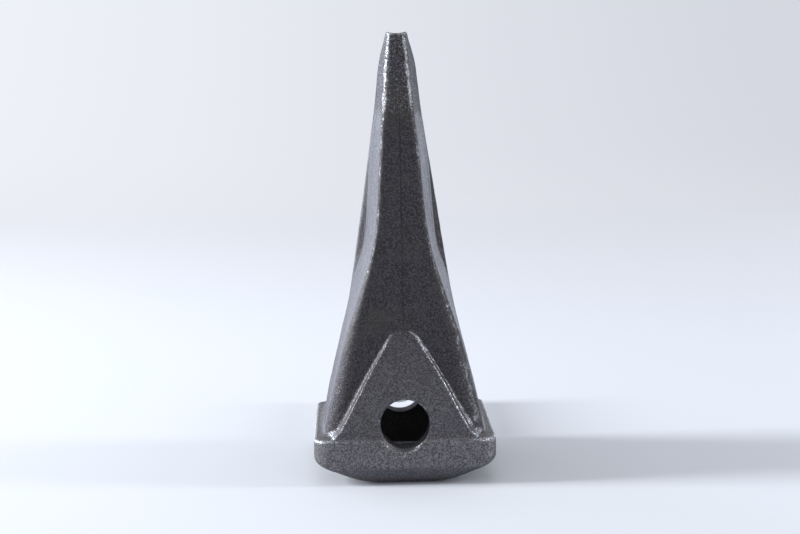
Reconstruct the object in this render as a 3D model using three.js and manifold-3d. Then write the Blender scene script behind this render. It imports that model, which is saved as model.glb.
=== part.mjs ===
// Excavator bucket tooth with its side pin, millimetres, +Z up.
// The tooth stands on the open mouth of its socket with the tip up. X is the thickness of the
// tooth, Y runs along its cutting edge and along the pin bore. The pin is drawn back along +Y
// until only its tapered nose is left in the far ear. The origin is the middle of the footprint.

import * as THREE from 'three';
import { mergeVertices } from 'three/addons/utils/BufferGeometryUtils.js';
import Module from 'manifold-3d';

const wasm = await Module();
wasm.setup();

// Driving sizes of the tooth.
const HEIGHT = 223;
const COLLAR = { halfX: 45.6, halfY: 51.7, top: 23, corner: 9, edge: 1.5, leanHeight: 8.6, footY: 48.1 };
const BOSS = { halfY: COLLAR.halfY - 1.3, top: 76, sinkFrom: 56, sink: 0.328, edge: 1 };
const BORE = { radius: 12.2, height: 30 };
const SOCKET = { depth: 106, mouthX: 34, mouthY: 41, floorX: 9.5, floorY: 29.5, corner: 5 };
const NOSE_START = 183;
const SCOOP = { top: 134, foot: 68 };
const RIB = { crest: 8.4, foot: 11.4, crown: 0.4 };
const FILLET = { x: 2.2, y: 3.5, height: 4 };

// Driving sizes of the pin and its ring. The ring keeps 0.3 mm to every side of its groove.
const PIN = { radius: 11, length: 100, nose: 12, noseRadius: 5, chamfer: 1.5 };
const RING = { inner: 9.3, outer: 11.7, width: 3.8, gapAngle: Math.PI / 7, edge: 0.3 };
const GAP = 0.3;
const NOSE_IN_BORE = 6;

// Everything moves back by this much, so that the footprint of tooth and pin is centred on Y = 0.
const PIN_TIP = COLLAR.halfY - NOSE_IN_BORE;
const FRAME_SHIFT = -(PIN_TIP + PIN.length - COLLAR.halfY) / 2;

// Half thickness over the centre rib and half width, as straight runs between heights.
const RIB_KNOTS = [
  [15, 42.8], [38, 38.6], [85, 27], [111, 22.8], [NOSE_START, 12.2], [209, 9.3], [HEIGHT, 5.2],
];
const WIDTH_KNOTS = [[15, 46.6], [62, 45], [NOSE_START, 34.5], [HEIGHT, 30.5]];

const { lerp, smoothstep } = THREE.MathUtils;

function alongKnots(knots, z) {
  const next = Math.max(1, knots.findIndex(([height]) => height >= z));
  const [z0, v0] = knots[next - 1];
  const [z1, v1] = knots[next];
  return lerp(v0, v1, (z - z0) / (z1 - z0));
}

// A closed three.js geometry as a manifold solid.
function solid(geometry) {
  const bare = geometry.clone();
  bare.deleteAttribute('normal');
  bare.deleteAttribute('uv');
  const merged = mergeVertices(bare, 1e-4);
  return new wasm.Manifold(new wasm.Mesh({
    numProp: 3,
    vertProperties: new Float32Array(merged.attributes.position.array),
    triVerts: new Uint32Array(merged.index.array),
  }));
}

// A manifold solid as a three.js geometry with flat shading.
function geometryOf(body) {
  const mesh = body.getMesh();
  const geometry = new THREE.BufferGeometry();
  geometry.setAttribute('position', new THREE.BufferAttribute(mesh.vertProperties, 3));
  geometry.setIndex(new THREE.BufferAttribute(mesh.triVerts, 1));
  return geometry;
}

function mirroredOutline(quadrant) {
  const rightHalf = [...quadrant, ...quadrant.slice(0, -1).reverse().map(([x, y]) => [x, -y])];
  const leftHalf = rightHalf.slice(1, -1).reverse().map(([x, y]) => [-x, y]);
  return [...rightHalf, ...leftHalf];
}

// A solid whose cross-section at each height is an outline with a fixed number of points. It is
// a cylinder geometry whose rings are moved onto the outlines.
function loft(sectionAt, heights) {
  const sides = sectionAt(heights[0]).length;
  const geometry = new THREE.CylinderGeometry(1, 1, 1, sides, heights.length - 1);
  geometry.rotateX(Math.PI / 2);
  const position = geometry.attributes.position;
  for (let i = 0; i < position.count; i += 1) {
    const x = position.getX(i);
    const y = position.getY(i);
    const row = Math.round((position.getZ(i) + 0.5) * (heights.length - 1));
    const turn = Math.round(Math.atan2(x, y) / (2 * Math.PI) * sides);
    const onAxis = Math.hypot(x, y) < 0.5;
    const [px, py] = onAxis ? [0, 0] : sectionAt(heights[row])[(turn + sides) % sides];
    position.setXYZ(i, px, py, heights[row]);
  }
  return solid(geometry);
}

function evenHeights(from, to, count) {
  return Array.from({ length: count + 1 }, (_, i) => lerp(from, to, i / count));
}

// The share of the fillet between the body and the collar that is left at a height above it.
function filletAt(z) {
  const below = THREE.MathUtils.clamp(1 - (z - COLLAR.top) / FILLET.height, 0, 1);
  return 1 - Math.sqrt(1 - below ** 2);
}

// Cross-section of the tooth: flat sides, rounded long edges, sloping panels that are scooped
// between the socket and the nose, and a centre rib on both broad faces. The rib stands out most
// at the foot of the scoop and fades out over the flare below it.
function bodySection(z) {
  const fillet = z < COLLAR.top ? 0 : filletAt(z);
  const rib = alongKnots(RIB_KNOTS, z) + FILLET.x * fillet;
  const width = alongKnots(WIDTH_KNOTS, z) + FILLET.y * fillet;
  const scooped = 4.9 + (HEIGHT - z) * 0.077;
  const edge = lerp(rib - 1.2, scooped, smoothstep(z, SCOOP.foot, SCOOP.top));
  const round = lerp(8.5, 2.4, smoothstep(z, 40, 118));
  const flare = 0.36 * (1 - smoothstep(z, 88, 116));
  const foot = lerp(edge, rib, lerp(0.62, 0.9, smoothstep(z, 115, 172)) + flare);
  const slant = round * (1 - Math.SQRT1_2);
  return mirroredOutline([
    [0, width],
    [edge - round, width],
    [edge - slant, width - slant],
    [edge, width - round],
    [(edge + foot) / 2, (width - round + RIB.foot) / 2],
    [foot, RIB.foot],
    [rib, RIB.crest],
    [rib + RIB.crown, 0],
  ]);
}

function toothBody() {
  const lower = evenHeights(15, COLLAR.top, 1);
  const fillet = evenHeights(COLLAR.top, COLLAR.top + FILLET.height, 4).slice(1);
  const middle = evenHeights(COLLAR.top + FILLET.height, NOSE_START, 34).slice(1);
  const nose = evenHeights(NOSE_START, HEIGHT, 9).slice(1);
  return loft(bodySection, [...lower, ...fillet, ...middle, ...nose]);
}

function roundedRectangle(halfX, halfY, radius) {
  const shape = new THREE.Shape();
  shape.absarc(halfX - radius, halfY - radius, radius, 0, Math.PI / 2);
  shape.absarc(radius - halfX, halfY - radius, radius, Math.PI / 2, Math.PI);
  shape.absarc(radius - halfX, radius - halfY, radius, Math.PI, Math.PI * 1.5);
  shape.absarc(halfX - radius, radius - halfY, radius, Math.PI * 1.5, Math.PI * 2);
  return shape;
}

// Extrudes an outline drawn in X and Z through the whole width of the tooth.
function throughY(shape, halfDepth, edge) {
  const geometry = new THREE.ExtrudeGeometry(shape, {
    depth: 2 * (halfDepth - edge),
    bevelEnabled: edge > 0,
    bevelThickness: edge,
    bevelSize: edge,
    bevelOffset: -edge,
    bevelSegments: 2,
    curveSegments: 8,
  });
  geometry.translate(0, 0, edge - halfDepth);
  geometry.rotateX(Math.PI / 2);
  return solid(geometry);
}

// Extrudes an outline drawn in Y and Z through the whole thickness of the tooth.
function throughX(shape) {
  const halfDepth = 60;
  const geometry = new THREE.ExtrudeGeometry(shape, { depth: 2 * halfDepth, bevelEnabled: false });
  geometry.translate(0, 0, -halfDepth);
  geometry.rotateX(Math.PI / 2);
  geometry.rotateZ(Math.PI / 2);
  return solid(geometry);
}

// The flange round the mouth. Its ears hang lower than its broad sides and lean in at the foot.
function collar() {
  const plan = roundedRectangle(COLLAR.halfX, COLLAR.halfY, COLLAR.corner);
  const block = new THREE.ExtrudeGeometry(plan, {
    depth: COLLAR.top + 10,
    bevelThickness: COLLAR.edge,
    bevelSize: COLLAR.edge,
    bevelOffset: -COLLAR.edge,
    bevelSegments: 2,
    curveSegments: 8,
  });
  block.translate(0, 0, -COLLAR.edge - 10);

  const front = new THREE.Shape();
  front.moveTo(-50, 12.6);
  front.lineTo(-30, 4.2);
  front.quadraticCurveTo(-21, 0, -13, 0);
  front.lineTo(13, 0);
  front.quadraticCurveTo(21, 0, 30, 4.2);
  front.lineTo(50, 12.6);
  front.lineTo(50, 60);
  front.lineTo(-50, 60);

  const side = new THREE.Shape();
  side.moveTo(-COLLAR.footY, 0);
  side.lineTo(COLLAR.footY, 0);
  side.lineTo(COLLAR.halfY, COLLAR.leanHeight);
  side.lineTo(COLLAR.halfY, 60);
  side.lineTo(-COLLAR.halfY, 60);
  side.lineTo(-COLLAR.halfY, COLLAR.leanHeight);

  return solid(block).intersect(throughY(front, 60, 0)).intersect(throughX(side));
}

// The triangular bosses that carry the pin bore, one on each side. Each sits a little behind the
// collar's face, and its apex sinks into the side of the tooth.
function bosses() {
  const front = new THREE.Shape();
  front.moveTo(-40, 15);
  front.lineTo(40, 15);
  front.lineTo(40, COLLAR.top);
  front.quadraticCurveTo(34.5, COLLAR.top, 31.3, 29);
  front.lineTo(13.8, 62);
  front.lineTo(4.3, BOSS.top);
  front.lineTo(-4.3, BOSS.top);
  front.lineTo(-13.8, 62);
  front.lineTo(-31.3, 29);
  front.quadraticCurveTo(-34.5, COLLAR.top, -40, COLLAR.top);

  const apexY = BOSS.halfY - (BOSS.top - BOSS.sinkFrom) * BOSS.sink;
  const side = new THREE.Shape();
  side.moveTo(-BOSS.halfY, 0);
  side.lineTo(BOSS.halfY, 0);
  side.lineTo(BOSS.halfY, BOSS.sinkFrom);
  side.lineTo(apexY, BOSS.top);
  side.lineTo(-apexY, BOSS.top);
  side.lineTo(-BOSS.halfY, BOSS.sinkFrom);
  return throughY(front, BOSS.halfY, BOSS.edge).intersect(throughX(side));
}

// The tapered hollow that the adapter's nose fills.
function socketSection(z) {
  const up = z / SOCKET.depth;
  const halfX = lerp(SOCKET.mouthX, SOCKET.floorX, up);
  const halfY = lerp(SOCKET.mouthY, SOCKET.floorY, up);
  const slant = SOCKET.corner * (1 - Math.SQRT1_2);
  return mirroredOutline([
    [0, halfY],
    [halfX - SOCKET.corner, halfY],
    [halfX - slant, halfY - slant],
    [halfX, halfY - SOCKET.corner],
    [halfX, 0],
  ]);
}

function socket() {
  return loft(socketSection, [-5, ...evenHeights(0, SOCKET.depth, 2)]);
}

function pinBore() {
  const geometry = new THREE.CylinderGeometry(BORE.radius, BORE.radius, 3 * COLLAR.halfY, 64);
  geometry.translate(0, 0, BORE.height);
  return solid(geometry);
}

function toothPoint() {
  const outside = toothBody().add(collar()).add(bosses());
  return geometryOf(outside.subtract(socket()).subtract(pinBore()));
}

// The pin lies along Y with its tapered nose towards -Y and its groove at mid length.
function lockPin() {
  const grooveHalf = RING.width / 2 + GAP;
  const middle = PIN.length / 2;
  const grooveRadius = RING.inner - GAP;
  const profile = [
    [0, 0],
    [PIN.noseRadius, 0],
    [PIN.radius, PIN.nose],
    [PIN.radius, middle - grooveHalf],
    [grooveRadius, middle - grooveHalf],
    [grooveRadius, middle + grooveHalf],
    [PIN.radius, middle + grooveHalf],
    [PIN.radius, PIN.length - PIN.chamfer],
    [PIN.radius - PIN.chamfer, PIN.length],
    [0, PIN.length],
  ];
  return new THREE.LatheGeometry(profile.map(([r, y]) => new THREE.Vector2(r, y)), 64);
}

// The split spring ring in the pin's groove. Its gap faces down.
function retainingRing() {
  const from = -Math.PI / 2 + RING.gapAngle / 2;
  const to = from + 2 * Math.PI - RING.gapAngle;
  const shape = new THREE.Shape();
  shape.absarc(0, 0, RING.outer, from, to, false);
  shape.absarc(0, 0, RING.inner, to, from, true);
  const geometry = new THREE.ExtrudeGeometry(shape, {
    depth: RING.width - 2 * RING.edge,
    bevelThickness: RING.edge,
    bevelSize: RING.edge,
    bevelOffset: -RING.edge,
    bevelSegments: 1,
    curveSegments: 40,
  });
  geometry.translate(0, 0, RING.edge - RING.width / 2);
  geometry.rotateX(Math.PI / 2);
  return geometry;
}

function mesh(name, geometry, color, roughness, metalness) {
  const material = new THREE.MeshStandardMaterial({ color, roughness, metalness });
  const item = new THREE.Mesh(geometry, material);
  item.name = name;
  return item;
}

const tooth = mesh('tooth_point', toothPoint(), 0x3d3b3f, 0.6, 0.8);

const pin = mesh('lock_pin', lockPin(), 0x77787c, 0.35, 0.9);
pin.position.set(0, PIN_TIP, BORE.height);

const ring = mesh('retaining_ring', retainingRing(), 0x2f3238, 0.4, 0.9);
ring.position.set(0, PIN_TIP + PIN.length / 2, BORE.height);

const assembly = new THREE.Group();
assembly.add(tooth, pin, ring);
assembly.position.y = FRAME_SHIFT;

export default assembly;
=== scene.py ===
"""Excavator bucket tooth, standing on its socket mouth, with its side pin drawn back.

The forged tooth is one solid, described by a signed field in millimetres and meshed from it. The
pin is turned on a lathe profile, and the split ring is swept along its arc. X is the thickness
of the tooth, Y runs along the pin bore and Z points up to the tip.
"""

import math

import bpy
import numpy as np
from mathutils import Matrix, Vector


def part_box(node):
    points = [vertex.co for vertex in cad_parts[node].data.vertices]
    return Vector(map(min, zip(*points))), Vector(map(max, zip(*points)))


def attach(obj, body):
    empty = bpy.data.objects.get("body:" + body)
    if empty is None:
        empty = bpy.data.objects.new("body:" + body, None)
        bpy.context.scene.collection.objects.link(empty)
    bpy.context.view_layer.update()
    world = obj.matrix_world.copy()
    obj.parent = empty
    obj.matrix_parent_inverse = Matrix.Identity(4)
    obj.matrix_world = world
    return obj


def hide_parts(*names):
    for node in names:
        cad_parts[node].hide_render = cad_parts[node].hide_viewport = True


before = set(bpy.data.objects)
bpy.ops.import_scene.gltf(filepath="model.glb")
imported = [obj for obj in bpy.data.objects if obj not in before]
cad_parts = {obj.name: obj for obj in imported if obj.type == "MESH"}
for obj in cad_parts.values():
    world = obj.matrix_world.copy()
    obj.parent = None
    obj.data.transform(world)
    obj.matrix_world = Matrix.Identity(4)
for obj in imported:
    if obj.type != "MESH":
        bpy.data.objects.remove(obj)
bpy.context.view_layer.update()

MM = 0.001

# The tooth, in millimetres from the middle of its foot.
tooth_low, tooth_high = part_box("tooth_point")
HALF_X = (tooth_high.x - tooth_low.x) / 2 / MM
HALF_Y = (tooth_high.y - tooth_low.y) / 2 / MM
HEIGHT = (tooth_high.z - tooth_low.z) / MM
TOOTH_Y = (tooth_high.y + tooth_low.y) / 2 / MM

# The body: half its thickness over the centre ribs and half its width, each at a few heights. Its
# panels start beside the rib and are scooped out between the heights given.
NOSE_START = 183.0
NOSE_TWIST = math.radians(2.1)
RIB_HEIGHTS = (15, 38, 85, 111, NOSE_START, 209, HEIGHT)
RIB_HALVES = (42.8, 38.6, 27.0, 22.8, 12.2, 9.3, 5.1)
RIB_CREST = 8.4
RIB_FOOT = 11.2
WIDTH_HEIGHTS = (15, 62, NOSE_START, HEIGHT)
WIDTH_HALVES = (46.6, 45.0, 34.5, 30.5)
SIDE_DRAFT = 0.045
PANEL_START = 13.0
SCOOP_HEIGHTS = (68, 134)
TIP_EDGE = 4.9
EDGE_TAPER = 0.077

# The collar. Its ears lean in at the foot, and their underside is flat in the middle and bends up
# into a straight slope.
COLLAR_TOP = 23.0
COLLAR_CORNER = 9.0
LEAN_HEIGHT = 8.6
LEAN = 0.42
EAR_FLAT = 13.0
EAR_BEND = 16.0
EAR_SLOPE = 0.42

# The boss on each side, the pin's bore through it, and the worn lip below the bore's near end.
BOSS_TOP = 76.0
BOSS_SHOULDER = (13.8, 62.0)
RIDGE_NORMAL = (0.884, 0.468)
APEX_NORMAL = (0.819, 0.573)
BOSS_INSET = 1.3
BOSS_DRAFT = 0.06
SINK_START = 56.0
SINK_SLOPE = 0.312
BORE_RADIUS = 12.2
BORE_HEIGHT = 30.0
LIP_SHIFT = 1.0
LIP_DROP = 2.2

# The parting seam, a fine groove up both narrow sides.
SEAM_WIDTH = 0.7
SEAM_DEPTH = 0.22

# The socket, with its half thickness and half width at the mouth and at the floor.
SOCKET_DEPTH = 106.0
SOCKET_MOUTH = (34.0, 41.0)
SOCKET_FLOOR = (9.5, 29.5)

# The depth of the ring's wire.
WIRE = 2.4

# The spacing of the grid that the tooth is meshed on.
GRID_STEP = 1.06


# ---------------------------------------------------------------- the tooth as a signed field


def lerp(a, b, t):
    return a + (b - a) * t


def smoothstep(value, low, high):
    t = np.clip((value - low) / (high - low), 0, 1)
    return t * t * (3 - 2 * t)


def soft_interp(value, places, sizes, blur):
    """Straight runs between places, with their corners rounded over the blur length."""
    offsets = np.linspace(-blur, blur, 5)
    return sum(np.interp(value + offset, places, sizes) for offset in offsets) / len(offsets)


def round_max(a, b, radius):
    """The overlap of two fields, with their common edge rounded."""
    inner = np.minimum(np.maximum(a, b), -radius)
    return inner + np.hypot(np.maximum(a + radius, 0), np.maximum(b + radius, 0))


def round_min(a, b, radius):
    """The union of two fields, with a fillet along their common corner."""
    return -round_max(-a, -b, radius)


def value_noise(x, y, z, size, seed):
    """Smooth noise between 0 and 1 with bumps about as wide as size."""
    count = 32
    lattice = np.random.default_rng(seed).random((count, count, count))
    total = 0.0
    cells, shares = [], []
    for value in (x, y, z):
        scaled = value / size
        cell = np.floor(scaled).astype(int)
        share = scaled - cell
        cells.append(cell)
        shares.append(share * share * (3 - 2 * share))
    for corner in np.ndindex(2, 2, 2):
        weight = 1.0
        for share, side in zip(shares, corner):
            weight = weight * (share if side else 1 - share)
        index = tuple((cell + side) % count for cell, side in zip(cells, corner))
        total = total + weight * lattice[index]
    return total


def body_field(ax, ay, z):
    """Flat sides, scooped panels between socket and nose, and a centre rib on both broad faces."""
    rib = soft_interp(z, RIB_HEIGHTS, RIB_HALVES, 5.0)
    width = soft_interp(z, WIDTH_HEIGHTS, WIDTH_HALVES, 2.5)
    scooped = TIP_EDGE + (HEIGHT - z) * EDGE_TAPER
    edge = lerp(rib - 1.2, scooped, smoothstep(z, *SCOOP_HEIGHTS))
    above_flare = lerp(0.62, 0.9, smoothstep(z, 115, 172))
    on_flare = 0.36 * (1 - smoothstep(z, 88, 116))
    foot = lerp(edge, rib, above_flare + on_flare)
    panel = lerp(foot, edge, np.clip((ay - PANEL_START) / (width - PANEL_START), 0, 1))
    half = panel + (rib - foot) * (1 - smoothstep(ay, RIB_CREST, RIB_FOOT))
    on_nose = smoothstep(z, NOSE_START - 8, NOSE_START + 4)
    round_edge = lerp(8.5, 2.2, smoothstep(z, 40, 118)) + on_nose
    drafted = width - SIDE_DRAFT * ax
    tip = HEIGHT - 0.9 + 0.8 * np.minimum(ax / 5.0, 1) ** 2
    sides = round_max((ax - half) * 0.96, (ay - drafted) * 0.99, round_edge)
    return np.maximum(round_max(sides, z - tip, 0.9), COLLAR_TOP - 1.5 - z)


def collar_field(ax, ay, z):
    """The flange round the mouth, with ears that hang lower and lean in at the foot."""
    lean = np.maximum(LEAN_HEIGHT - z, 0) * LEAN
    qx = ax - HALF_X + COLLAR_CORNER
    qy = ay - HALF_Y + lean + COLLAR_CORNER
    plan = np.hypot(np.maximum(qx, 0), np.maximum(qy, 0)) + np.minimum(np.maximum(qx, qy), 0)
    ring = round_max(plan - COLLAR_CORNER, z - COLLAR_TOP, 1.6)
    past_flat = np.maximum(ax - EAR_FLAT, 0)
    bent, straight = past_flat**2 / (2 * EAR_BEND), past_flat - EAR_BEND / 2
    rise = np.where(past_flat < EAR_BEND, bent, straight) * EAR_SLOPE
    return round_max(ring, (rise - z) * 0.93, 3.0)


def boss_outline(ax, z):
    """The boss seen along the pin: straight ridges that turn in a little towards a short flat top."""
    beside, above = ax - BOSS_SHOULDER[0], z - BOSS_SHOULDER[1]
    ridge = RIDGE_NORMAL[0] * beside + RIDGE_NORMAL[1] * above
    apex = APEX_NORMAL[0] * beside + APEX_NORMAL[1] * above
    return round_max(round_max(ridge, apex, 2.0), z - BOSS_TOP, 2.5)


def boss_field(ax, ay, z):
    """The triangular boss round the pin bore. It flares into the collar and sinks in at its apex."""
    band = np.maximum(ax - HALF_X + COLLAR_CORNER + 2, z - COLLAR_TOP)
    draft = BOSS_DRAFT * np.clip(HALF_Y - ay, 0, 8)
    outline = round_min(boss_outline(ax, z), band, 5.0) - draft
    face = ay - HALF_Y + BOSS_INSET
    sunk = round_max(face, face * 0.95 + (z - SINK_START) * SINK_SLOPE, 8.0)
    return np.maximum(round_max(outline, sunk, 1.1), np.maximum(12 - z, HALF_Y - 16 - ay))


def socket_field(ax, ay, z):
    """The tapered hollow that takes the adapter's nose."""
    up = z / SOCKET_DEPTH
    half_x = lerp(SOCKET_MOUTH[0], SOCKET_FLOOR[0], up)
    half_y = lerp(SOCKET_MOUTH[1], SOCKET_FLOOR[1], up)
    walls = round_max((ax - half_x) * 0.97, ay - half_y, 5.0)
    return round_max(walls, z - SOCKET_DEPTH, 4.0)


def twisted(x, y, z):
    """Where a place on the slightly twisted blade lies on the straight one."""
    turn = NOSE_TWIST * smoothstep(z, 125, 215)
    return x - turn * y, y + turn * x


def forged_field(x, y, z):
    """The outside of the forging, with its parting seam and slightly uneven skin."""
    ax, ay = np.abs(x), np.abs(y)
    plate = round_min(collar_field(ax, ay, z), boss_field(ax, ay, z), 0.8)
    body_x, body_y = twisted(x, y, z)
    outside = round_min(body_field(np.abs(body_x), np.abs(body_y), z), plate, 2.0)
    seam_reach = smoothstep(z, 70, 80) * (1 - smoothstep(z, NOSE_START - 4, NOSE_START))
    outside = outside + SEAM_DEPTH * np.exp(-((x / SEAM_WIDTH) ** 2)) * seam_reach * (ay > 20)
    uneven = 0.3 * value_noise(x, y, z, 17, 3) + 0.16 * value_noise(x, y, z, 5, 5)
    return outside + uneven + 0.07 * value_noise(x, y, z, 2.6, 7)


def from_lip(x, z):
    """How far a place lies outside the worn lip below the near end of the bore."""
    return np.hypot(1.15 * (x + LIP_SHIFT), z - BORE_HEIGHT + LIP_DROP) - BORE_RADIUS


def tooth_field(x, y, z):
    """The whole tooth: the forging less its socket, its bore and the worn lip."""
    ax, ay = np.abs(x), np.abs(y)
    hollow = socket_field(ax, ay, z) - 0.2 * value_noise(x, y, z, 9, 11)
    bore = np.hypot(x, z - BORE_HEIGHT) - BORE_RADIUS
    depth = y + HALF_Y - BOSS_INSET
    lip = (from_lip(x, z) + depth) * 0.7
    shell = round_max(forged_field(x, y, z), -hollow, 2.0)
    return np.maximum(round_max(shell, -bore, 0.7), -lip)


# ---------------------------------------------------------------- meshing the field


def grid_line(half, step):
    count = math.ceil(half / step + 0.5)
    return (np.arange(-count, count) + 0.5) * step


def crossings(field):
    """Each grid edge that the surface crosses: its first corner, its axis and where it is cut."""
    inside = field < 0
    found = []
    for axis in range(3):
        near = [slice(None)] * 3
        far = [slice(None)] * 3
        near[axis], far[axis] = slice(None, -1), slice(1, None)
        start, end = field[tuple(near)], field[tuple(far)]
        corner = np.argwhere(inside[tuple(near)] != inside[tuple(far)])
        first = start[tuple(corner.T)]
        share = first / (first - end[tuple(corner.T)])
        found.append((axis, corner, share, first < 0))
    return found


def surface_nets(field):
    """One vertex in each cell that the surface passes, and a quad round each crossed edge."""
    cells_shape = np.array(field.shape) - 1
    cell_count = int(np.prod(cells_shape))
    cell_ids, points, quads = [], [], []
    for axis, corner, share, leaves in crossings(field):
        point = corner.astype(float)
        point[:, axis] += share
        second, third = (axis + 1) % 3, (axis + 2) % 3
        around = []
        for back_2, back_3 in ((0, 0), (1, 0), (1, 1), (0, 1)):
            cell = corner.copy()
            cell[:, second] -= back_2
            cell[:, third] -= back_3
            ids = np.ravel_multi_index(tuple(cell.T), tuple(cells_shape))
            around.append(ids)
            cell_ids.append(ids)
            points.append(point)
        ring = np.stack(around, 1)
        ring[~leaves] = ring[~leaves][:, ::-1]
        quads.append(ring)
    cell_ids, points, quads = np.concatenate(cell_ids), np.concatenate(points), np.concatenate(quads)
    weight = np.bincount(cell_ids, minlength=cell_count)
    used = np.flatnonzero(weight)
    sums = [np.bincount(cell_ids, points[:, k], cell_count)[used] for k in range(3)]
    vertices = np.stack(sums, 1) / weight[used][:, None]
    renumber = np.full(cell_count, -1)
    renumber[used] = np.arange(len(used))
    return vertices, renumber[quads]


def slope_of(field, points, reach):
    """The gradient of a field at each point, by central differences."""
    parts = []
    for axis in range(3):
        step = np.zeros(3)
        step[axis] = reach
        parts.append(field(*(points + step).T) - field(*(points - step).T))
    return np.stack(parts, 1) / (2 * reach)


def settle(field, points, rounds):
    """Moves points straight onto the field's surface."""
    for _ in range(rounds):
        slope = slope_of(field, points, 0.06)
        distance = field(*points.T)
        move = slope * (distance / np.maximum((slope**2).sum(1), 0.05))[:, None]
        points = points - np.clip(move, -GRID_STEP / 2, GRID_STEP / 2)
    return points


def relax(points, quads, share):
    """Evens out the quads by moving each point towards the middle of its neighbours."""
    starts = quads.ravel()
    ends = np.roll(quads, -1, axis=1).ravel()
    count = np.bincount(starts, minlength=len(points))
    middle = np.stack([np.bincount(starts, points[ends, k], len(points)) for k in range(3)], 1)
    return lerp(points, middle / count[:, None], share)


def curvature_of(field, points, reach):
    """How sharply the surface turns at each point: positive on edges, negative in corners."""
    total = -6 * field(*points.T)
    for axis in range(3):
        step = np.zeros(3)
        step[axis] = reach
        total = total + field(*(points + step).T) + field(*(points - step).T)
    return total / reach**2


def mesh_object(name, points, faces, normals=None):
    """A smooth-shaded object from points in metres."""
    mesh = bpy.data.meshes.new(name)
    mesh.from_pydata(points.tolist(), [], [list(map(int, face)) for face in faces])
    mesh.update()
    mesh.shade_smooth()
    if normals is not None:
        mesh.normals_split_custom_set_from_vertices(normals.tolist())
    item = bpy.data.objects.new(name, mesh)
    bpy.context.scene.collection.objects.link(item)
    return item


def add_attribute(item, name, values):
    layer = item.data.attributes.new(name, "FLOAT", "POINT")
    layer.data.foreach_set("value", np.asarray(values, np.float32))


def edge_wear_and_highlight(points, normals):
    """Wear on sharp edges, which also paints highlights: little on the rib and on the left of the
    flare, where the lamps already light it, more on the nose, the collar's shoulders and the boss's
    right ridge."""
    x, y, z = points.T
    sharp = smoothstep(curvature_of(tooth_field, points, 0.9), 0.15, 0.65)
    arris = 4 * (normals[:, 0] * normals[:, 1]) ** 2
    # Less bright metal on the left of the flare, where the lamps give a real highlight.
    lit_left_flare = smoothstep(-x, 0, 10) * (1 - smoothstep(z, 88, 112))
    edge = np.maximum(sharp, arris * (1 - 0.85 * lit_left_flare))
    on_rib = (np.abs(y) < 14) & (z > 100) & (z < NOSE_START + 20)
    edge = edge * np.where(on_rib, 0.2, 1.0)
    on_nose = smoothstep(z, NOSE_START + 1, NOSE_START + 5)
    near_collar_top = 1 - smoothstep(np.abs(z - COLLAR_TOP), 1.5, 3.5)
    shoulder = smoothstep(np.abs(x), 31, 34) * near_collar_top
    edge = edge * (1 + 0.3 * on_nose + shoulder)
    # More bright metal on the boss's right ridge as a painted highlight, less on the left ridge.
    on_outline = np.abs(boss_outline(np.abs(x), z)) < 2.2
    on_ridge = on_outline & (z > COLLAR_TOP + 2) & (np.abs(y) > 30)
    return edge * np.where(on_ridge, np.where(x > 0, 1.6, 0.75), 1.0)


def wear_and_highlight_at(points, normals):
    """How bright the metal is at each place, as real wear and as painted highlight: worn edges, the
    lip, and the heel of the body on the collar.
    """
    x, y, z = points.T
    at_lip = (y < -HALF_Y + 3.5) & (z < BORE_HEIGHT - 4)
    lip = 1.6 * at_lip * np.exp(-((from_lip(x, z) / 0.5) ** 2))
    # The heel of the body on the collar gets a painted highlight of bright metal.
    from_heel = np.hypot((np.abs(x) - 36) / 4.0, (z - COLLAR_TOP - 1.5) / 2.6)
    heel = 1.5 * (np.abs(y) > 41) * np.exp(-(from_heel**2))
    return np.maximum(edge_wear_and_highlight(points, normals), np.maximum(lip, heel))


def on_plate(points):
    """The collar's own paler skin, which fades up the boss."""
    x, y, z = points.T
    mirrored = (np.abs(x), np.abs(y), z)
    plate = np.minimum(collar_field(*mirrored), boss_field(*mirrored))
    share = smoothstep(body_field(*mirrored) - plate, -0.6, 0.8)
    on_boss = lerp(0.58, 0.36, smoothstep(z, 36, 72))
    return share * np.where(z < COLLAR_TOP, 1.0, on_boss)


def on_broad_face(points, normals):
    """The broad faces, most of all along their ribs."""
    broad = smoothstep(np.abs(normals[:, 0]), 0.7, 0.93)
    from_rib = smoothstep(np.abs(points[:, 1]), 10, 30)
    return broad * (1 - 0.6 * from_rib)


def on_seam(points):
    """The stretch of each narrow side that carries the parting seam."""
    _, y, z = points.T
    between = smoothstep(z, BOSS_TOP, BOSS_TOP + 3) * (z < NOSE_START)
    return between * (np.abs(y) > 25)


def painted_hollow_shade(points):
    """Where shade is painted in: the socket, and a little of the near end of the bore."""
    x, y, z = points.T
    from_bore = np.hypot(x, z - BORE_HEIGHT) - BORE_RADIUS
    in_near_ear = (y > -HALF_Y + 6) & (y < 0)
    in_bore = 0.2 * (1 - smoothstep(from_bore, 0.2, 0.9)) * in_near_ear
    in_socket = smoothstep(-socket_field(np.abs(x), np.abs(y), z), -1.2, 0.2)
    return np.maximum(in_socket, in_bore)


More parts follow.
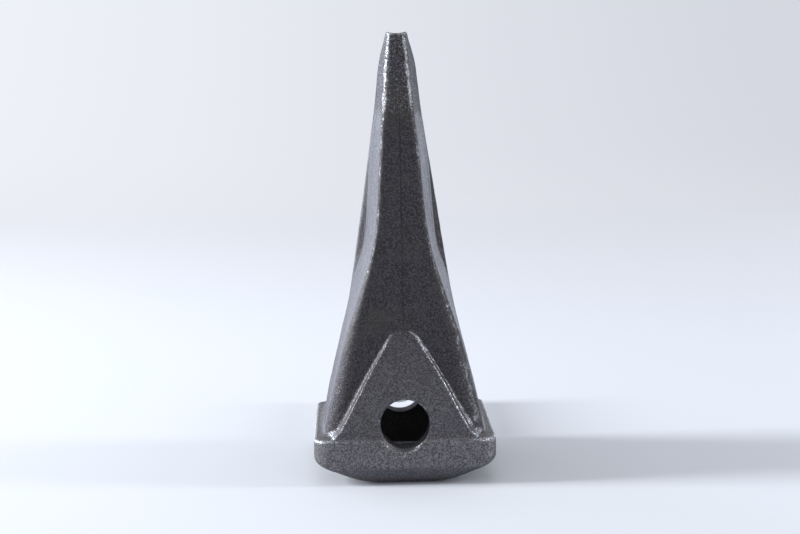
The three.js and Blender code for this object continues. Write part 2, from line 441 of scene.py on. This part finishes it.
def build_tooth():
    step = GRID_STEP * 1
    line_x = grid_line(HALF_X + 2, step)
    line_y = grid_line(HALF_Y + 2, step)
    line_z = np.arange(-2, HEIGHT + 3, step)
    grid = np.meshgrid(line_x, line_y, line_z, indexing="ij")
    vertices, quads = surface_nets(tooth_field(*grid))
    points = vertices * step + (line_x[0], line_y[0], line_z[0])
    points = settle(tooth_field, points, 2)
    for _ in range(3):
        points = settle(tooth_field, relax(points, quads, 0.5), 2)
    slope = slope_of(tooth_field, points, 0.35)
    normals = slope / np.linalg.norm(slope, axis=1)[:, None]
    item = mesh_object("tooth_forging", (points + (0, TOOTH_Y, 0)) * MM, quads, normals)
    add_attribute(item, "edge", wear_and_highlight_at(points, normals))
    add_attribute(item, "plate", on_plate(points))
    add_attribute(item, "broad", on_broad_face(points, normals))
    add_attribute(item, "seam", on_seam(points))
    # The inside attribute marks the hollows that get painted shade.
    add_attribute(item, "inside", painted_hollow_shade(points))
    return item


# ---------------------------------------------------------------- materials


class Nodes:
    """A short way to write one material's node tree."""

    def __init__(self, name):
        self.material = bpy.data.materials.new(name)
        self.material.use_nodes = True
        self.tree = self.material.node_tree
        self.shader = self.tree.nodes["Principled BSDF"]
        self.place = self.add("ShaderNodeTexCoord").outputs["Object"]

    def add(self, kind, **settings):
        node = self.tree.nodes.new(kind)
        for key, value in settings.items():
            setattr(node, key, value)
        return node

    def link(self, source, target):
        if isinstance(source, (int, float, tuple)):
            target.default_value = source
        else:
            self.tree.links.new(source, target)

    def noise(self, size_mm, detail, rough, where=None):
        node = self.add("ShaderNodeTexNoise")
        node.inputs["Scale"].default_value = 1 / (size_mm * MM)
        node.inputs["Detail"].default_value = detail
        node.inputs["Roughness"].default_value = rough
        self.link(where or self.place, node.inputs["Vector"])
        return node.outputs["Fac"]

    def cells(self, size_mm):
        node = self.add("ShaderNodeTexVoronoi", feature="F1")
        node.inputs["Scale"].default_value = 1 / (size_mm * MM)
        self.link(self.place, node.inputs["Vector"])
        return node.outputs["Distance"]

    def attribute(self, name):
        return self.add("ShaderNodeAttribute", attribute_name=name).outputs["Fac"]

    def axes(self):
        """The X, Y and Z of the shaded place."""
        split = self.add("ShaderNodeSeparateXYZ")
        self.link(self.place, split.inputs[0])
        return split.outputs

    def math(self, operation, a, b=0.0):
        node = self.add("ShaderNodeMath", operation=operation)
        for value, socket in zip((a, b), node.inputs):
            self.link(value, socket)
        return node.outputs[0]

    def span(self, value, low, high, to_low=0.0, to_high=1.0):
        """value mapped from low..high to to_low..to_high, clamped and smooth."""
        node = self.add("ShaderNodeMapRange", interpolation_type="SMOOTHSTEP")
        for source, socket in zip((value, low, high, to_low, to_high), node.inputs):
            self.link(source, socket)
        return node.outputs[0]

    def mix(self, share, a, b):
        node = self.add("ShaderNodeMix", data_type="RGBA")
        self.link(share, node.inputs["Factor"])
        self.link(a, node.inputs["A"])
        self.link(b, node.inputs["B"])
        return node.outputs["Result"]

    def bump(self, height, depth_mm, strength, under=None):
        node = self.add("ShaderNodeBump")
        node.inputs["Strength"].default_value = strength
        node.inputs["Distance"].default_value = depth_mm * MM
        self.link(height, node.inputs["Height"])
        if under is not None:
            self.link(under, node.inputs["Normal"])
        return node.outputs["Normal"]


def rgb(red, green, blue):
    return (red, green, blue, 1.0)


def nose_share(n, patch):
    """1 above the uneven border where the nose's own skin starts, and 0 below it."""
    _, _, z = n.axes()
    border = n.math("ADD", z, n.math("MULTIPLY", n.math("SUBTRACT", patch, 0.5), 14 * MM))
    return n.span(border, (NOSE_START - 2) * MM, (NOSE_START + 3) * MM)


def scale_color(n, spread, patch, nose):
    """Grey steel that shows through dark scale, with black flecks and faint tinted clouds."""
    pale = n.math("MAXIMUM", n.attribute("plate"), n.math("MULTIPLY", nose, 0.10))
    steel = n.mix(pale, rgb(0.064, 0.060, 0.070), rgb(0.184, 0.180, 0.192))
    scale = n.mix(pale, rgb(0.006, 0.005, 0.007), rgb(0.052, 0.050, 0.055))
    color = n.mix(n.span(spread, 0.40, 0.60), scale, steel)
    fleck = n.span(n.noise(1.3, 2.0, 0.6), 0.48, 0.60, 0.0, 0.6)
    fleck = n.math("MULTIPLY", fleck, n.math("SUBTRACT", 1.0, pale))
    color = n.mix(fleck, color, rgb(0.004, 0.004, 0.005))
    color = n.mix(n.span(patch, 0.45, 0.75, 0.0, 0.3), color, rgb(0.060, 0.048, 0.063))
    cloud = n.noise(22.0, 3.0, 0.5)
    return n.mix(n.span(cloud, 0.5, 0.75, 0.0, 0.25), color, rgb(0.056, 0.054, 0.040))


def streak_share(n):
    """Long soft streaks that run up the broad faces."""
    drawn = n.add("ShaderNodeMapping")
    drawn.inputs["Scale"].default_value = (1.0, 1.0, 0.06)
    n.link(n.place, drawn.inputs["Vector"])
    streak = n.span(n.noise(4.0, 3.0, 0.6, drawn.outputs[0]), 0.38, 0.60)
    streak = n.math("ADD", n.math("MULTIPLY", streak, 0.6), 0.4)
    return n.math("MULTIPLY", streak, n.attribute("broad"))


def seam_and_foot(n, color, blotch):
    """Darkens the parting seam, paints a cool shade where the foot leans in and rusts its lowest
    stretch.
    """
    x, _, z = n.axes()
    at_seam = n.span(n.math("ABSOLUTE", x), 0.15 * MM, 0.5 * MM, 0.55, 0.0)
    seam = n.math("MULTIPLY", n.attribute("seam"), at_seam)
    color = n.mix(seam, color, rgb(0.008, 0.008, 0.009))
    # Painted shade: the foot is darkened and cooled where it leans in and faces down.
    painted_foot_shade = n.span(z, 6.5 * MM, 9 * MM, 0.35, 0.0)
    color = n.mix(painted_foot_shade, color, rgb(0.040, 0.046, 0.072))
    at_foot = n.span(z, 1 * MM, 8 * MM, 0.7, 0.0)
    rust = n.math("MULTIPLY", at_foot, n.span(blotch, 0.45, 0.65))
    return n.mix(rust, color, rgb(0.10, 0.055, 0.032))


def wear_and_highlight_share(n, grain, blotch, patch, nose):
    """Bright metal, partly real wear and partly painted highlight: ragged patches along the worn
    edges, and specks on the nose.
    """
    uneven = n.math("ADD", n.math("MULTIPLY", blotch, 1.5), n.math("MULTIPLY", patch, 1.1))
    # This level mixes real wear with painted highlight.
    worn = n.math("ADD", n.math("MULTIPLY", n.attribute("edge"), 0.8), uneven)
    worn = n.math("ADD", worn, n.math("MULTIPLY", nose, 0.2))
    ragged = n.span(grain, 0.38, 0.60, 0.15, 1.0)
    wear_and_highlight = n.math("MULTIPLY", n.span(worn, 1.90, 2.55), ragged)
    # Bright specks on the nose: partly wear, partly painted glints.
    specks = n.math("MULTIPLY", nose, n.span(grain, 0.54, 0.68, 0.0, 0.30))
    return n.math("MAXIMUM", wear_and_highlight, specks)


def forged_steel():
    """Dark forging scale: mottled, pitted, worn bright on its edges, partly as painted highlight,
    with painted shade in its hollows and on the foot where it leans in, and a little rust at the
    foot.
    """
    n = Nodes("forged_steel")
    grain = n.noise(0.7, 2.0, 0.6)
    blotch = n.noise(1.7, 4.0, 0.7)
    patch = n.noise(6.0, 3.0, 0.5)
    spread = n.math("ADD", n.math("MULTIPLY", grain, 0.82), n.math("MULTIPLY", blotch, 0.18))
    nose = nose_share(n, patch)
    streak = streak_share(n)
    wear_and_highlight = wear_and_highlight_share(n, grain, blotch, patch, nose)
    inside = n.attribute("inside")

    color = scale_color(n, spread, patch, nose)
    color = n.mix(n.math("MULTIPLY", streak, 0.5), color, rgb(0.012, 0.012, 0.016))
    color = seam_and_foot(n, color, blotch)
    # Bright metal on the edges: real wear and painted highlight.
    color = n.mix(n.math("MULTIPLY", wear_and_highlight, 0.75), color, rgb(0.46, 0.47, 0.50))
    # Painted shade: the socket and the near end of the bore are painted nearly black.
    color = n.mix(n.math("MULTIPLY", inside, 0.95), color, rgb(0.008, 0.007, 0.005))
    n.link(color, n.shader.inputs["Base Color"])

    bare = n.math("MAXIMUM", n.span(spread, 0.40, 0.62, 0.28, 0.72), wear_and_highlight)
    outside = n.math("SUBTRACT", 1.0, n.math("MULTIPLY", inside, 0.97))
    n.link(n.math("MULTIPLY", bare, outside), n.shader.inputs["Metallic"])
    rough = n.span(spread, 0.38, 0.64, 0.56, 0.38)
    rough = n.math("ADD", rough, n.math("MULTIPLY", nose, 0.16))
    rough = n.math("ADD", rough, n.math("MULTIPLY", streak, 0.10))
    rough = n.math("SUBTRACT", rough, n.math("MULTIPLY", wear_and_highlight, 0.12))
    n.link(n.math("ADD", rough, n.math("MULTIPLY", inside, 0.35)), n.shader.inputs["Roughness"])

    pits = n.span(n.cells(1.5), 0.10, 0.42)
    normal = n.bump(blotch, 0.22, 0.8)
    normal = n.bump(pits, 0.10, 0.6, normal)
    normal = n.bump(grain, 0.20, 1.0, normal)
    n.link(normal, n.shader.inputs["Normal"])
    return n.material


def pin_steel():
    """Turned steel with fine rings round its axis and a film of oil."""
    n = Nodes("pin_steel")
    stretch = n.add("ShaderNodeMapping")
    stretch.inputs["Scale"].default_value = (0.08, 1.0, 0.08)
    n.link(n.place, stretch.inputs["Vector"])
    rings = n.noise(0.35, 3.0, 0.6, stretch.outputs[0])
    stain = n.noise(9.0, 4.0, 0.6)
    color = n.mix(n.span(stain, 0.42, 0.68), rgb(0.40, 0.40, 0.41), rgb(0.24, 0.235, 0.23))
    edge = n.attribute("edge")
    color = n.mix(n.math("MULTIPLY", edge, 0.5), color, rgb(0.62, 0.62, 0.63))
    n.link(color, n.shader.inputs["Base Color"])
    n.shader.inputs["Metallic"].default_value = 0.95
    n.link(n.span(rings, 0.3, 0.7, 0.26, 0.42), n.shader.inputs["Roughness"])
    n.link(n.bump(rings, 0.02, 0.6), n.shader.inputs["Normal"])
    return n.material


def spring_steel():
    """Blued spring steel with faint temper colours."""
    n = Nodes("spring_steel")
    temper = n.noise(5.0, 3.0, 0.5)
    color = n.mix(n.span(temper, 0.4, 0.7), rgb(0.045, 0.052, 0.075), rgb(0.085, 0.075, 0.070))
    n.link(color, n.shader.inputs["Base Color"])
    n.shader.inputs["Metallic"].default_value = 0.9
    grain = n.noise(0.4, 3.0, 0.6)
    n.link(n.span(grain, 0.3, 0.7, 0.25, 0.4), n.shader.inputs["Roughness"])
    n.link(n.bump(grain, 0.02, 0.5), n.shader.inputs["Normal"])
    return n.material


def paper():
    """The plain studio floor, which takes shadows near the object. It glows evenly far away, with a
    painted falloff that makes it a little dimmer on the side away from the main light."""
    n = Nodes("paper")
    n.shader.inputs["Base Color"].default_value = rgb(0.535, 0.555, 0.590)
    n.shader.inputs["Roughness"].default_value = 0.7
    n.shader.inputs["Specular IOR Level"].default_value = 0.2
    x, _, _ = n.axes()
    glow = n.add("ShaderNodeEmission")
    # Painted light falloff: the glow dims from -X to +X, away from the main light.
    glow_with_painted_falloff = n.mix(n.span(x, -1.1, 1.2), rgb(0.868, 0.890, 0.955), rgb(0.655, 0.675, 0.735))
    n.link(glow_with_painted_falloff, glow.inputs["Color"])
    away = n.add("ShaderNodeVectorMath", operation="LENGTH")
    n.link(n.place, away.inputs[0])
    mixed = n.add("ShaderNodeMixShader")
    n.link(n.span(away.outputs["Value"], 0.2, 1.5), mixed.inputs[0])
    n.link(n.shader.outputs[0], mixed.inputs[1])
    n.link(glow.outputs[0], mixed.inputs[2])
    n.link(mixed.outputs[0], n.tree.nodes["Material Output"].inputs["Surface"])
    return n.material


# ---------------------------------------------------------------- pin and ring


def rounded_corner(before, corner, after, radius, steps=5):
    """The points of a smooth curve that replaces one corner of a profile."""
    to_before = np.subtract(before, corner)
    to_after = np.subtract(after, corner)
    to_before = to_before / np.linalg.norm(to_before)
    to_after = to_after / np.linalg.norm(to_after)
    start = corner + to_before * radius
    end = corner + to_after * radius
    share = np.linspace(0, 1, steps)[:, None]
    corner = np.asarray(corner)
    return (1 - share) ** 2 * start + 2 * share * (1 - share) * corner + share**2 * end


def rounded_profile(corners, radii):
    """An open profile whose inner corners are rounded, with the first and last point kept."""
    points = [np.array([corners[0]])]
    for k in range(1, len(corners) - 1):
        points.append(rounded_corner(corners[k - 1], corners[k], corners[k + 1], radii[k - 1]))
    points.append(np.array([corners[-1]]))
    return np.concatenate(points)


def turned_mesh(profile, sides):
    """A closed solid of revolution about Y. The profile runs from the axis back to the axis."""
    turns = np.linspace(0, 2 * math.pi, sides, endpoint=False)
    rings = profile[1:-1]
    points = [(0.0, profile[0][1], 0.0)]
    for radius, along in rings:
        points.extend((radius * math.cos(t), along, radius * math.sin(t)) for t in turns)
    points.append((0.0, profile[-1][1], 0.0))
    last = len(points) - 1
    faces = []
    for k in range(sides):
        after = (k + 1) % sides
        faces.append((0, 1 + k, 1 + after))
        for row in range(len(rings) - 1):
            low, high = 1 + row * sides, 1 + (row + 1) * sides
            faces.append((low + k, high + k, high + after, low + after))
        top = 1 + (len(rings) - 1) * sides
        faces.append((last, top + after, top + k))
    return np.array(points), faces


def build_pin():
    """The lock pin, with a tapered nose, a groove for the ring and a centre mark at both ends."""
    low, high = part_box("lock_pin")
    radius = (high.x - low.x) / 2 / MM
    length = (high.y - low.y) / MM
    groove_low, groove_high = length / 2 - 2.2, length / 2 + 2.2
    groove_radius = radius - 2.0
    nose_radius, nose_length = 5.0, 12.0
    centre_mark = 1.6
    chamfer = 1.5
    corners = [
        (0.0, centre_mark),
        (centre_mark, 0.0),
        (nose_radius, 0.0),
        (radius, nose_length),
        (radius, groove_low),
        (groove_radius, groove_low),
        (groove_radius, groove_high),
        (radius, groove_high),
        (radius, length - chamfer),
        (radius - chamfer, length),
        (centre_mark, length),
        (0.0, length - centre_mark),
    ]
    radii = [0.3, 1.2, 2.5, 0.25, 0.5, 0.5, 0.25, 0.5, 0.5, 0.3]
    points, faces = turned_mesh(rounded_profile(corners, radii), 96)
    centre = ((high.x + low.x) / 2 / MM, low.y / MM, (high.z + low.z) / 2 / MM)
    item = mesh_object("turned_lock_pin", (points + centre) * MM, faces)
    along = points[:, 1]
    from_axis = np.hypot(points[:, 0], points[:, 2])
    near_tail = smoothstep(along, length - 2.2, length - 0.4)
    near_tail = near_tail * smoothstep(from_axis, radius - 3, radius - 1.2)
    near_nose = (1 - smoothstep(along, 0.3, 2.0)) * smoothstep(from_axis, 3.6, 4.8)
    add_attribute(item, "edge", np.maximum(near_tail, near_nose))
    return item


def build_ring():
    """The split ring, a rounded square wire bent round its groove, with its gap facing down."""
    low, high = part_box("retaining_ring")
    pin_low, pin_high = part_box("lock_pin")
    outer = (high.x - low.x) / 2 / MM
    inner = outer - WIRE
    half_width = (high.y - low.y) / 2 / MM
    gap = math.pi / 7
    corners = [(inner, -half_width), (outer, -half_width), (outer, half_width), (inner, half_width)]
    rounds = []
    for k in range(4):
        rounds.append(rounded_corner(corners[k - 1], corners[k], corners[(k + 1) % 4], 0.55, 4))
    section = np.concatenate(rounds)
    stations = np.linspace(-math.pi / 2 + gap / 2, 1.5 * math.pi - gap / 2, 121)
    points, faces = [], []
    for angle in stations:
        for radius, along in section:
            points.append((radius * math.cos(angle), along, radius * math.sin(angle)))
    count = len(section)
    for row in range(len(stations) - 1):
        for k in range(count):
            a, b = row * count + k, row * count + (k + 1) % count
            faces.append((a, a + count, b + count, b))
    first = list(range(count))
    last = [(len(stations) - 1) * count + k for k in range(count)]
    faces.append(first)
    faces.append(last[::-1])
    centre_z = (pin_high.z + pin_low.z) / 2 / MM
    centre = ((high.x + low.x) / 2 / MM, (high.y + low.y) / 2 / MM, centre_z)
    return mesh_object("split_spring_ring", (np.array(points) + centre) * MM, faces)


# ---------------------------------------------------------------- studio


def build_backdrop():
    """A pale floor that curves up into a wall all round, far outside the object."""
    flat, curve, wall = 2.4, 1.0, 0.1
    profile = [(0.0, 0.0)]
    profile += [(flat * t, 0.0) for t in np.linspace(0.1, 1, 6)]
    for angle in np.linspace(0, math.pi / 2, 17)[1:]:
        profile.append((flat + curve * math.sin(angle), curve * (1 - math.cos(angle))))
    profile.append((flat + curve, curve + wall))
    sides = 96
    points = [(0.0, 0.0, 0.0)]
    for radius, z in profile[1:]:
        for k in range(sides):
            turn = 2 * math.pi * k / sides
            points.append((radius * math.cos(turn), radius * math.sin(turn), z))
    faces = []
    for k in range(sides):
        after = (k + 1) % sides
        faces.append((0, 1 + k, 1 + after))
        for row in range(len(profile) - 2):
            low, high = 1 + row * sides, 1 + (row + 1) * sides
            faces.append((low + k, high + k, high + after, low + after))
    item = mesh_object("studio_floor", np.array(points) + (0, 0, -0.0002), faces)
    item.data.materials.append(paper())


def area_light(name, place, target, size, power, color=(1.0, 1.0, 1.0)):
    data = bpy.data.lights.new(name, "AREA")
    data.shape = "RECTANGLE"
    data.size, data.size_y = size
    data.energy = power
    data.color = color
    lamp = bpy.data.objects.new(name, data)
    lamp.location = place
    direction = Vector(target) - Vector(place)
    lamp.rotation_mode = "QUATERNION"
    lamp.rotation_quaternion = direction.to_track_quat("-Z", "Y")
    lamp.visible_camera = False
    bpy.context.scene.collection.objects.link(lamp)


def build_lights():
    mid_y = TOOTH_Y * MM
    aim = (0.0, mid_y, 0.1)
    cool = (0.96, 0.98, 1.0)
    blue = (0.85, 0.92, 1.10)
    area_light("key_left", (-2.0, mid_y + 0.05, 0.98), aim, (0.45, 0.85), 78.0, cool)
    area_light("rim_left", (-0.95, mid_y + 1.3, 0.36), aim, (0.45, 0.7), 4.8, blue)
    area_light("side_left", (-1.30, mid_y + 1.1, 0.22), aim, (1.1, 0.4), 8.5, blue)
    area_light("rim_right", (0.75, mid_y + 1.3, 0.15), aim, (0.12, 0.28), 1.9, blue)
    area_light("side_right", (1.7, mid_y - 0.15, 0.85), aim, (0.3, 0.6), 14.5, cool)
    area_light("fill_right", (0.75, mid_y - 1.2, 0.35), aim, (0.7, 0.7), 1.6)
    area_light("top", (0.0, mid_y + 0.45, 1.8), aim, (1.2, 1.2), 5.0)
    world = bpy.data.worlds.new("studio")
    world.use_nodes = True
    world.node_tree.nodes["Background"].inputs[0].default_value = rgb(0.82, 0.845, 0.905)
    world.node_tree.nodes["Background"].inputs[1].default_value = 0.68
    bpy.context.scene.view_settings.view_transform = "Standard"
    bpy.context.scene.world = world


def build_camera():
    """About level with the tip and a little to the left of the bore's axis, looking slightly down."""
    azimuth = math.radians(-1.55)
    distance = 0.910
    height = 0.2172
    mid_y = TOOTH_Y * MM
    middle = Vector((0.0, mid_y, 0.1022))
    place = Vector((math.sin(azimuth) * distance, mid_y - math.cos(azimuth) * distance, height))
    data = bpy.data.cameras.new("camera")
    data.sensor_width = 36.0
    data.lens = 79.92
    camera = bpy.data.objects.new("camera", data)
    camera.location = place
    look = (middle - place).to_track_quat("-Z", "Y")
    roll = Matrix.Rotation(math.radians(-0.9), 4, "Z").to_quaternion()
    camera.rotation_mode = "QUATERNION"
    camera.rotation_quaternion = look @ roll
    data.clip_start, data.clip_end = 0.01, 50.0
    bpy.context.scene.collection.objects.link(camera)
    bpy.context.scene.camera = camera


def dress(item, material, body, node):
    """Gives a piece its material, puts it under its body's empty and hides the CAD part that it
    stands in for.
    """
    item.data.materials.append(material)
    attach(item, body)
    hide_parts(node)


build_camera()
build_backdrop()
build_lights()
dress(build_tooth(), forged_steel(), "tooth", "tooth_point")
dress(build_pin(), pin_steel(), "pin", "lock_pin")
dress(build_ring(), spring_steel(), "pin", "retaining_ring")
